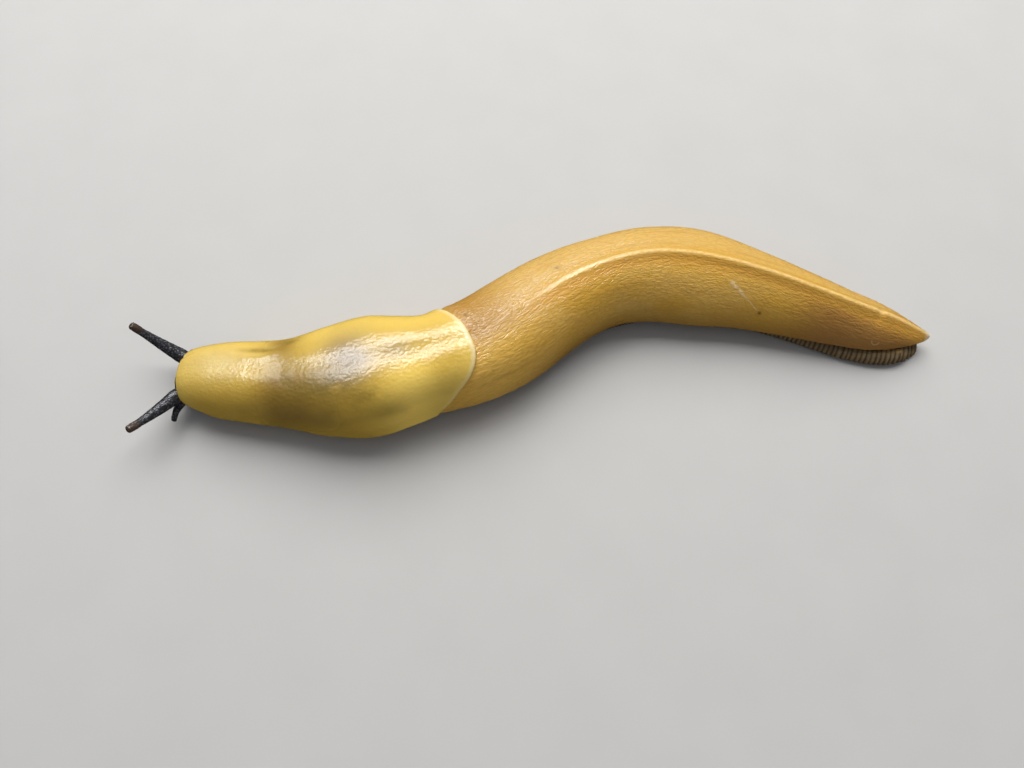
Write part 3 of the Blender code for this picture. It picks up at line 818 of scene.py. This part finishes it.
def rowCells(bench, fields, length, width, pattern):
    # each point's distance from its cell's edge
    across = fields["across"] / width + fields["warp"] * pattern["bend"]
    at = bench.add("ShaderNodeCombineXYZ", {0: fields["s"] / length, 1: across})
    return bench.cells(at, 1, "DISTANCE_TO_EDGE", pattern["spread"])


# The skin's relief in millimetres, which are the tree's inputs, and below them what shapes it.
relief = {
    "rowLength": 2.3,
    "rowWidth": 0.78,
    "rowHeight": 0.055,
    "wrinkleHeight": 0.12,
    "ribPitch": 1.05,
    "ribDepth": 0.34,
    "mantleWaves": 0.22,
    "mantleGrain": 0.05,
    "headGrain": 0.07,
}
reliefShape = {
    "groove": (0, 0.22),
    "offKeel": (0.6, 2.2),
    "ribJitter": 0.9,
    "ribRound": 0.55,
    "ribMiddle": 0.75,
    "ribStarts": (0.05, 0.7),
    "ribEnds": (2.5, 3.1),
    "valley": (27, 3.6),
    "valleyAcross": (0, 7),
    "crossWaves": 1.6,
    "beads": 1500,
}


def reliefTree(finish):
    shape = reliefShape
    tree = bpy.data.node_groups.new("skinRelief", "GeometryNodeTree")
    tree.interface.new_socket("Geometry", in_out="INPUT", socket_type="NodeSocketGeometry")
    for name, value in relief.items():
        socket = tree.interface.new_socket(name, in_out="INPUT", socket_type="NodeSocketFloat")
        socket.default_value = value
    tree.interface.new_socket("Geometry", in_out="OUTPUT", socket_type="NodeSocketGeometry")
    bench = Bench(tree)
    source = tree.nodes.new("NodeGroupInput")
    size = {name: Wire(bench, source.outputs[name]) for name in relief}

    def stored(name, kind="FLOAT"):
        return bench.add("GeometryNodeInputNamedAttribute", {"Name": name}, data_type=kind)

    position = bench.add("GeometryNodeInputPosition")
    fields = skinFields(bench, stored("place", "FLOAT_VECTOR"), position,
                        ("warp", "folds", "ribJitter", "swell", "grain", "cross"))
    s, across, z = (fields[name] for name in ("s", "across", "z"))

    # rows of long low tubercles on the body, between shallow grooves
    rows = rowCells(bench, fields, size["rowLength"], size["rowWidth"], rowPattern)
    folds = size["wrinkleHeight"] * (fields["folds"] - 0.5)
    body = stored("bodyZone") * across.math("ABSOLUTE").between(*shape["offKeel"])
    lift = body * (size["rowHeight"] * rows.between(*shape["groove"]) + folds)

    # the foot's fringe: rounded ribs with narrow grooves between
    turn = s / size["ribPitch"] + (fields["ribJitter"] - 0.5) * shape["ribJitter"]
    wave = (turn * math.pi).math("SINE").math("ABSOLUTE")
    edge = z.between(*shape["ribStarts"]) * (1 - z.between(*shape["ribEnds"]))
    ribs = size["ribDepth"] * (wave ** shape["ribRound"] - shape["ribMiddle"])
    lift = lift + stored("footZone") * edge * ribs

    # the mantle: broad swells, a fine grain, and cross wrinkles in the valley behind the hood
    valley = s.bell(*shape["valley"]) * across.bell(*shape["valleyAcross"])
    waves = (fields["swell"] - 0.5) + valley * (fields["cross"] - 0.5) * shape["crossWaves"]
    grain = size["mantleGrain"] * (fields["grain"] - 0.5)
    lift = lift + stored("mantleZone") * (size["mantleWaves"] * waves + grain)

    # the head and tentacles: small round beads
    beads = 0.5 - bench.cells(position, shape["beads"])
    lift = lift + (stored("headZone") + stored("tentacleZone")) * size["headGrain"] * beads

    offset = bench.add("GeometryNodeInputNormal").vector("SCALE")
    tree.links.new((lift * mm).socket, offset.socket.node.inputs["Scale"])
    moved = bench.add("GeometryNodeSetPosition", {"Geometry": Wire(bench, source.outputs["Geometry"]),
                                                  "Offset": offset})
    crested = bench.add("GeometryNodeStoreNamedAttribute",
                        {"Geometry": moved, "Name": "ribCrest", "Value": wave},
                        data_type="FLOAT", domain="POINT")
    real = bench.add("GeometryNodeRealizeInstances", {0: crested})
    worn = bench.add("GeometryNodeSetMaterial", {"Geometry": real, "Material": finish})
    tree.links.new(worn.socket, tree.nodes.new("NodeGroupOutput").inputs[0])
    return tree


def raiseRelief(target, tree):
    step = target.modifiers.new("relief", "NODES")
    step.node_group = tree
    for item in tree.interface.items_tree:
        if item.in_out == "INPUT" and item.name in relief:
            step[item.identifier] = relief[item.name]
    makePlain(target)


def newFinish(name):
    material = bpy.data.materials.new(name)
    material.use_nodes = True
    return material, Bench(material.node_tree)


def wearFinish(bench, settings, links):
    # one Principled shader: plain numbers on its own sockets, and links only where the value varies
    shader = bench.add("ShaderNodeBsdfPrincipled", {**settings, **links})
    bench.add("ShaderNodeOutputMaterial", {0: shader})


skinTones = {
    "mantle": (0.64, 0.42, 0.07),
    # a brighter mantle tone; on the right side and by the rear rim it is painted light
    "mantleBright": (0.78, 0.545, 0.12),
    # painted shade for the mantle's left flank
    "mantleShadedSide": (0.56, 0.35, 0.055),
    # umber tinge, with painted shade, in the valley behind the hood
    "mantleUmber": (0.27, 0.155, 0.022),
    # olive patches; low on the left flank it is painted shade
    "mantleOlive": (0.26, 0.175, 0.025),
    # painted reflection of the sky
    "mantleSkyReflection": (0.25, 0.20, 0.155),
    # painted light for the mantle's rear left
    "mantleLitGold": (0.98, 0.69, 0.15),
    # for painted highlights: a sheen on the hood and a pale line along the rear rim
    "mantleRim": (0.90, 0.78, 0.46),
    "ochre": (0.68, 0.385, 0.06),
    # a lighter ochre; on the right of the keel it is painted light
    "ochreLight": (0.72, 0.465, 0.145),
    # painted light, lifting the shaded left flank right behind the mantle
    "ochreLitGold": (0.88, 0.54, 0.12),
    "ochreDeep": (0.43, 0.215, 0.036),
    # painted shade, for the low flanks and the grooves between the tubercles
    "ochreShade": (0.26, 0.14, 0.035),
    "tailBrown": (0.31, 0.145, 0.048),
    # painted glow, orange light beside the keel
    "ochrePaintedGlow": (0.70, 0.36, 0.065),
    # painted highlight along the keel's ridge
    "crestHighlight": (0.92, 0.66, 0.28),
    "scar": (0.85, 0.68, 0.42),
    "speck": (0.12, 0.05, 0.01),
    "rib": (0.30, 0.21, 0.11),
    "ribGroove": (0.05, 0.035, 0.02),
    "head": (0.03, 0.024, 0.016),
    "slate": (0.10, 0.105, 0.125),
    "slateDark": (0.035, 0.034, 0.038),
    "tentacleBrown": (0.13, 0.09, 0.05),
    "tentacleTip": (0.10, 0.065, 0.045),
}
# The umber valley behind the hood and the slack skin on its left, an umber tinge with painted shade in the
# hollow: place and reach along the back, and between what places across, or heights, each fades.
valley = {
    "saddle": (24.5, 4.5),
    "right": (1, 7),
    "farRight": (8, 13),
    "slack": (31, 7),
    "left": (-4, 2),
    "low": (3, 12),
}
scarLine = {"start": (135.2, -5), "end": (143.2, -9.8), "halfWidth": 0.95, "ragged": 0.8}
crescent = {"at": (171.6, -7), "radius": 0.85, "reach": 0.14}
pinhole = (144, -10.3, 0.45, 0.45)
# Spots: place along and across the back, reach along and across, strength.
specks = ((*pinhole, 0.85), (93.2, 4.1, 0.5, 0.5, 0.6), (68.6, 5.3, 0.4, 0.4, 0.6),
          (44.6, 0.6, 0.9, 0.9, 0.6))
# Olive patches; the two thin ones along the right fold, at 19.5 and 25.5, are painted shade in its crease.
smudgesAndFoldShade = ((43.5, -9, 5, 3, 0.6), (47, -13, 4.4, 2, 0.5), (36.5, -12.5, 3.2, 2.4, 0.45),
           (29.5, -10, 2.4, 1.6, 0.3), (17.5, -10.5, 2.2, 2, 0.3), (19.5, 5, 4.2, 0.7, 0.9),
           (25.5, 7.6, 2.4, 0.9, 0.9), (39, -15, 6, 2.2, 0.3), (36, -5, 7, 3.4, 1),
           (29, -3, 4, 5, 0.6))
# Painted reflections of the sky: greyish patches within the shield's highlight.
skyReflections = ((40, 1.2, 6, 6, 0.7), (42, -0.6, 4.5, 3, 0.6), (51, 1, 3.6, 2.6, 0.45))


def spotPlaces(s, across, reachS, reachAcross):
    return (("s", "bell", s, reachS), ("across", "bell", across, reachAcross))


def spotWashes(tone, spots, broken=()):
    return tuple((tone, strength, spotPlaces(*spot) + broken) for *spot, strength in spots)


# Washes lie one over the other on each zone's ground. A wash has its tone, its strength and the fields
# that say where, each either as it is or by a rule of Wire.where.
# where the keel's ridge runs: a painted highlight lies along it, and its bumps are calmed
keelLine = (("across", "bell", 0.1, 0.5), ("s", "rises", 78, 96))
# the left flank, where shade is painted
shadedLeftFlank = (("across", "falls", -8, 1.6), ("s", "falls", 40, 50, 0.95))
washes = {
    # lighter on the right of the keel, painted light where the light falls; painted shade low on the
    # flanks, most on the left, and in the grooves; a painted highlight and a painted glow along the keel;
    # brown toward the tail
    "body": ("ochre", (
        ("ochreLight", 0.5, (("cloud", "rises", 0.35, 0.7),)),
        # painted light: the right of the keel is lighter where the light falls on it
        ("ochreLight", 0.85, (("across", "rises", 0, 4), ("s", "falls", 105, 150, 0.412))),
        ("ochreDeep", 0.8, (("s", "bell", 70, 11), ("across", "rises", -5, 0))),
        # painted light on the shaded left flank right behind the mantle
        ("ochreLitGold", 0.8, (("s", "bell", 68, 9), ("across", "falls", -8, -2))),
        # painted shade: darker low on the flanks, most on the left, less toward the tail and right behind
        # the mantle
        ("ochreShade", 0.85, (("z", "falls", 3, 13), ("across", "falls", 0, 6, 0.6),
                             ("s", "falls", 150, 172, 0.5), ("s", "rises", 66, 90, 0.765))),
        ("tailBrown", 0.8, (("across", "falls", -3.6, -1.6), ("s", "rises", 146, 162))),
        ("ochreLight", 0.2, (("s", "rises", 176, 184),)),
        # painted shade in the grooves between the tubercles
        ("ochreShade", 0.14, (("rows", "falls", 0, 0.16),)),
        ("ochreDeep", 0.28, (("streak", "rises", 0.5, 0.75),)),
        ("ochreDeep", 0.18, (("wrinkle", "rises", 0.5, 0.8),)),
        # painted glow: orange light lifting the shade just left of the keel
        ("ochrePaintedGlow", 0.8, (("across", "bell", -1.9, 1.3), ("s", "rises", 76, 92))),
        # painted glow, wider, near the tail
        ("ochrePaintedGlow", 0.55, (("across", "bell", -2.2, 2.4), ("s", "rises", 158, 176))),
        # painted highlight along the keel's ridge, broken by noise
        ("crestHighlight", 0.9, keelLine + (("ragged", "rises", 0.35, 0.65, 0.556),)),
        ("scar", 0.75, (("scar",),)),
        ("scar", 0.3, (("crescent",),)),
        *spotWashes("speck", specks),
        ("scar", 0.8, (("s", "rises", 183.2, 184.4),)),
    )),
    # bright above, with painted light on the right and at the rear left, an umber valley with painted shade
    # in it, olive patches and painted shade along the right fold, painted shade on the left flank, painted
    # reflections of the sky on the shield, and painted highlights on the hood and along the rear rim
    "mantle": ("mantle", (
        ("mantleBright", 0.6, (("smudge", "rises", 0.35, 0.65),)),
        # painted shade: the left flank darker
        ("mantleShadedSide", 0.7, shadedLeftFlank),
        # painted light: the right side lighter where the light falls
        ("mantleBright", 0.8, (("across", "rises", 2, 8),)),
        ("mantleBright", 0.7, (("s", "falls", 0, 9),)),
        # an umber tinge with painted shade in the valley behind the hood and the slack skin on its left
        ("mantleUmber", 0.85, (("valley",),)),
        # painted light on the mantle's rear left
        ("mantleLitGold", 0.9, (("s", "bell", 53, 6), ("across", "falls", -6, 0))),
        # painted highlight: a pale sheen on top of the hood
        ("mantleRim", 0.4, (("s", "bell", 11, 8), ("across", "bell", 1.2, 4))),
        # olive patches, and painted shade along the right fold
        *spotWashes("mantleOlive", smudgesAndFoldShade, (("smudge", "rises", 0.3, 0.6),)),
        # painted reflections of the sky on the shield
        *spotWashes("mantleSkyReflection", skyReflections),
        # painted shade: darker still low on the left flank
        ("mantleOlive", 0.35, shadedLeftFlank + (("z", "falls", 4.5, 14),)),
        # painted light near the mantle's rear edge
        ("mantleBright", 0.75, (("rearRim", "rises", 0.05, 0.8),)),
        # painted highlight along the mantle's rear rim
        ("mantleRim", 0.8, (("rearRim", "rises", 0.8, 1), ("across", "bell", 0, 8, 0.688))),
    )),
    # brown ribs between dark grooves
    "foot": ("ribGroove", (("rib", 1, (("rib",),)),)),
    # beads of slate on a dark ground, on the tentacles brown beneath and rusty at the tips
    "head": ("head", (("slateDark", 0.5, (("bead",),)),)),
    "tentacle": ("slateDark", (
        ("slate", 1, (("bead",),)),
        ("tentacleBrown", 0.7, (("armHeight", "falls", -0.9, 0.1),)),
        ("tentacleTip", 0.8, (("s", "rises", 13, 15.5),)),
    )),
}


def washShare(fields, places):
    # the product of the fields that say where a wash lies
    share = None
    for name, *rule in places:
        part = fields[name].where(*rule) if rule else fields[name]
        share = share * part if share else part
    return share


def washed(bench, fields, zone):
    # a zone's colour, with all its washes
    ground, over = washes[zone]
    tone = skinTones[ground]
    for name, strength, places in over:
        tone = bench.mix(washShare(fields, places) * strength, tone, skinTones[name])
    return tone


def scarShare(fields):
    # a ragged line that narrows toward its end
    startS, startAcross = scarLine["start"]
    reachS, reachAcross = scarLine["end"][0] - startS, scarLine["end"][1] - startAcross
    long = math.hypot(reachS, reachAcross)
    s, across, ragged = fields["s"] - startS, fields["across"] - startAcross, fields["ragged"]
    along = s * (reachS / long) + across * (reachAcross / long)
    aside = across * (reachS / long) - s * (reachAcross / long)
    thin = scarLine["halfWidth"] * (1 - 0.8 * along.between(0, long * 0.7))
    share = (1 - (aside + (ragged - 0.5) * scarLine["ragged"]).math("ABSOLUTE") / thin).clamp()
    share = share * along.between(-0.6, 0.4) * (1 - along.between(long - 0.4, long + 0.4))
    return share * ragged.between(0.35, 0.6)


def crescentShare(fields):
    # the left half of a thin ring
    s, across = fields["s"] - crescent["at"][0], fields["across"] - crescent["at"][1]
    ring = ((s * s + across * across) ** 0.5).bell(crescent["radius"], crescent["reach"])
    return ring * across.between(0.4, -0.4)


skinGloss = {
    "IOR": 1.42,
    "Specular IOR Level": 0.32,
    "Subsurface Weight": 0.1,
    "Subsurface Radius": (1, 0.4, 0.1),
    "Subsurface Scale": 0.0012,
}
roughness = {"least": 0.15, "cloud": 0.08, "scar": 0.2, "valley": 0.2}
# Bumps in shares of the distance, which is in metres; pebbles and pinhole go inward.
bumps = {"distance": 0.00008, "rows": 0.4, "dashes": 0.55, "wrinkle": 1, "grain": 0.4, "keelCalm": 0.7,
         "mantleGrain": 0.8, "pebble": -0.6, "bead": 0.7, "scar": 0.8, "pinhole": -1}


def skinFinish():
    material, bench = newFinish("slugSkin")

    def stored(name, out=2):
        return bench.add("ShaderNodeAttribute", out=out, attribute_name=name)

    position = bench.place()
    inMm = position.vector("MULTIPLY", (1000, 1000, 1000))
    fields = skinFields(bench, stored("place", 1), position,
                        ("warp", "wrinkle", "cloud", "streak", "ragged", "smudge"))
    s, across, z = (fields[name] for name in ("s", "across", "z"))
    saddle = 0.65 + 0.35 * across.between(*valley["right"]) - 0.75 * across.between(*valley["farRight"])
    saddle = s.bell(*valley["saddle"]) * saddle
    slack = s.bell(*valley["slack"]) * (1 - across.between(*valley["left"])) * z.between(*valley["low"])
    ribNoise = bench.noise(inMm, 0.8)
    fields.update({
        "rows": rowCells(bench, fields, relief["rowLength"], relief["rowWidth"], rowPattern),
        "scar": scarShare(fields),
        "crescent": crescentShare(fields),
        "valley": (saddle + slack * 0.85).clamp(),
        "rearRim": stored("rearRim"),
        "rib": stored("ribCrest") * (0.35 + 0.65 * ribNoise),
        "bead": 1 - bench.cells(inMm, 1.9).between(0.15, 0.6),
        "armHeight": across.math("SINE"),
    })
    masks = {zone: stored(zone + "Zone") for zone in zoneNames[1:]}
    masks["foot"] = masks["foot"].between(0.15, 0.85)
    tone = washed(bench, fields, "body")
    for zone, mask in masks.items():
        tone = bench.mix(mask.clamp(), tone, washed(bench, fields, zone))

    rough = roughness["least"] + fields["cloud"] * roughness["cloud"] + fields["scar"] * roughness["scar"]
    rough = rough + masks["mantle"] * (saddle + slack) * roughness["valley"]
    dashes = rowCells(bench, fields, dashPattern["length"], dashPattern["width"], dashPattern)
    grain = bench.noise(inMm, 1.6, 3, 0.6)
    pebble = bench.cells(inMm.vector("MULTIPLY", (0.8, 1, 1)), 1.25)
    lift = fields["rows"].between(0, 0.16) * bumps["rows"] + dashes.between(0, 0.3) * bumps["dashes"]
    lift = lift + fields["wrinkle"] * bumps["wrinkle"] + grain * bumps["grain"]
    lift = lift * (1 - masks["mantle"]) * (1 - washShare(fields, keelLine) * bumps["keelCalm"])
    lift = lift + masks["mantle"] * (grain * bumps["mantleGrain"] + pebble * bumps["pebble"])
    lift = lift + fields["bead"] * (masks["head"] + masks["tentacle"]) * bumps["bead"]
    hole = washShare(fields, spotPlaces(*pinhole))
    lift = lift + fields["scar"] * bumps["scar"] + hole * bumps["pinhole"]
    bump = bench.add("ShaderNodeBump", {"Strength": 1, "Distance": bumps["distance"], "Height": lift})
    wearFinish(bench, skinGloss, {"Base Color": tone, "Roughness": rough, "Normal": bump})
    return material


eye = {
    "radius": 0.42,
    "sunk": 0.12,
    "flat": 0.15,
    "tones": ((0.006, 0.004, 0.003), (0.03, 0.018, 0.01)),
    "roughness": (0.15, 0.1),
    "gloss": {"Coat Weight": 1, "Coat Roughness": 0.03, "IOR": 1.4},
}


def eyeFinish():
    material, bench = newFinish("eyeJet")
    spot = bench.noise(bench.place(), 2500, 2)
    least, more = eye["roughness"]
    tone = bench.mix(spot, *eye["tones"])
    wearFinish(bench, eye["gloss"], {"Base Color": tone, "Roughness": least + spot * more})
    return material


def makeEye(name, sizes, finish):
    tip, ahead = tentaclePoints(sizes)[2:]
    mesh = bpy.data.meshes.new(name)
    bm = bmesh.new()
    bmesh.ops.create_icosphere(bm, subdivisions=4, radius=eye["radius"] * mm)
    centre = Vector(tip + ahead * eye["sunk"] * mm)
    axis = Vector(ahead)
    for vert in bm.verts:
        vert.co = centre + vert.co - axis * axis.dot(vert.co) * eye["flat"]
    bm.to_mesh(mesh)
    bm.free()
    mesh.shade_smooth()
    mesh.materials.append(finish)
    return newObject(name, mesh)


floor = {
    "half": 1.6,
    "mottle": 60,
    "tones": ((0.52, 0.515, 0.505), (0.56, 0.555, 0.545)),
    "roughness": (0.85, 0.05),      # least, and how much the mottle adds
}


def makeFloor():
    mesh = bpy.data.meshes.new("studioFloor")
    half = floor["half"]
    corners = [(-half, -half, 0), (half, -half, 0), (half, half, 0), (-half, half, 0)]
    mesh.from_pydata(corners, [], [(0, 1, 2, 3)])
    material, bench = newFinish("paleFloor")
    mottle = bench.noise(bench.place(), floor["mottle"], 2)
    least, more = floor["roughness"]
    tone = bench.mix(mottle, *floor["tones"])
    wearFinish(bench, {}, {"Base Color": tone, "Roughness": least + mottle * more})
    mesh.materials.append(material)
    ground = newObject("studioFloor", mesh)
    ground.visible_glossy = False


# The key only lights and the sky only shines back, so that skin colour and gloss are set apart.
lamps = {
    "key": {"at": (0.02, 0.46, 0.60), "size": (0.9, 0.7), "power": 8.6, "colour": (1, 0.985, 0.96),
            "diffuse": True, "glossy": False},
    "sky": {"at": (-0.20, 0.31, 0.59), "size": (0.66, 0.24), "power": 12.5, "colour": (0.97, 0.985, 1),
            "diffuse": False, "glossy": True},
}
air = {"Color": (0.92, 0.95, 1), "Strength": 0.26}


def makeLamps():
    for name, sizes in lamps.items():
        data = bpy.data.lights.new(name, "AREA")
        data.shape = "RECTANGLE"
        data.size, data.size_y = sizes["size"]
        data.energy = sizes["power"]
        data.color = sizes["colour"]
        lamp = newObject(name, data)
        lamp.location = sizes["at"]
        lamp.visible_diffuse = sizes["diffuse"]
        lamp.visible_glossy = sizes["glossy"]
        lamp.rotation_euler = (-Vector(sizes["at"])).to_track_quat("-Z", "Y").to_euler()
    world = bpy.data.worlds.new("studioAir")
    world.use_nodes = True
    bench = Bench(world.node_tree)
    bench.add("ShaderNodeOutputWorld", {0: bench.add("ShaderNodeBackground", air)})
    world.cycles_visibility.glossy = False
    bpy.context.scene.world = world
    # straight colours, as a camera gives them
    bpy.context.scene.view_settings.view_transform = "Standard"


view = {"elevation": 66, "distance": 190, "lens": 28, "sensor": 36, "ground": (-6.6, -11.61)}


def makeCamera():
    data = bpy.data.cameras.new("photoView")
    data.lens = view["lens"]
    data.sensor_width = view["sensor"]
    data.clip_start = 0.01
    camera = newObject("photoView", data)
    rise = math.radians(view["elevation"])
    x, y = view["ground"]
    back, up = view["distance"] * math.cos(rise), view["distance"] * math.sin(rise)
    camera.location = Vector((x, y - back, up)) * mm
    camera.rotation_euler = (math.pi / 2 - rise, 0, 0)
    bpy.context.scene.camera = camera


print("forms")
skin = makeTrunk()
skin.name = "slugSkin"
pieces = [makeMantle(), makeFoot(), makeHead(), makeLip(-1), makeLip(1)]
pieces += [makeTentacle(name, sizes) for name, sizes in tentacles.items()]
fuse(skin, pieces, "UNION")
print("joined", len(skin.data.vertices))
fuse(skin, [makeMouthCutter(), makeBreathingHole()], "DIFFERENCE")
print("islands", keepLargest(skin))
writeZones(skin.data)
print("relief")
raiseRelief(skin, reliefTree(skinFinish()))
skin.data.shade_smooth()
for material in zones:
    bpy.data.materials.remove(material)
print("skin triangles", sum(len(face.vertices) - 2 for face in skin.data.polygons))

jet = eyeFinish()
eyeRight = makeEye("eyeRight", tentacles["upperRight"], jet)
eyeLeft = makeEye("eyeLeft", tentacles["upperLeft"], jet)

fleshNodes = ["head", "neck", "torso_front", "torso_middle", "torso_rear", "tail_front", "tail_tip",
              "mantle_hood", "mantle_shield", "foot_front", "foot_middle", "foot_rear",
              "tentacle_upper_left", "tentacle_upper_right", "tentacle_lower_left", "tentacle_lower_right"]
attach(skin, "root")
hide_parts(*fleshNodes)
for piece, node in ((eyeRight, "eye_right"), (eyeLeft, "eye_left")):
    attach(piece, "root")
    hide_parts(node)

print("studio")
makeFloor()
makeLamps()
makeCamera()
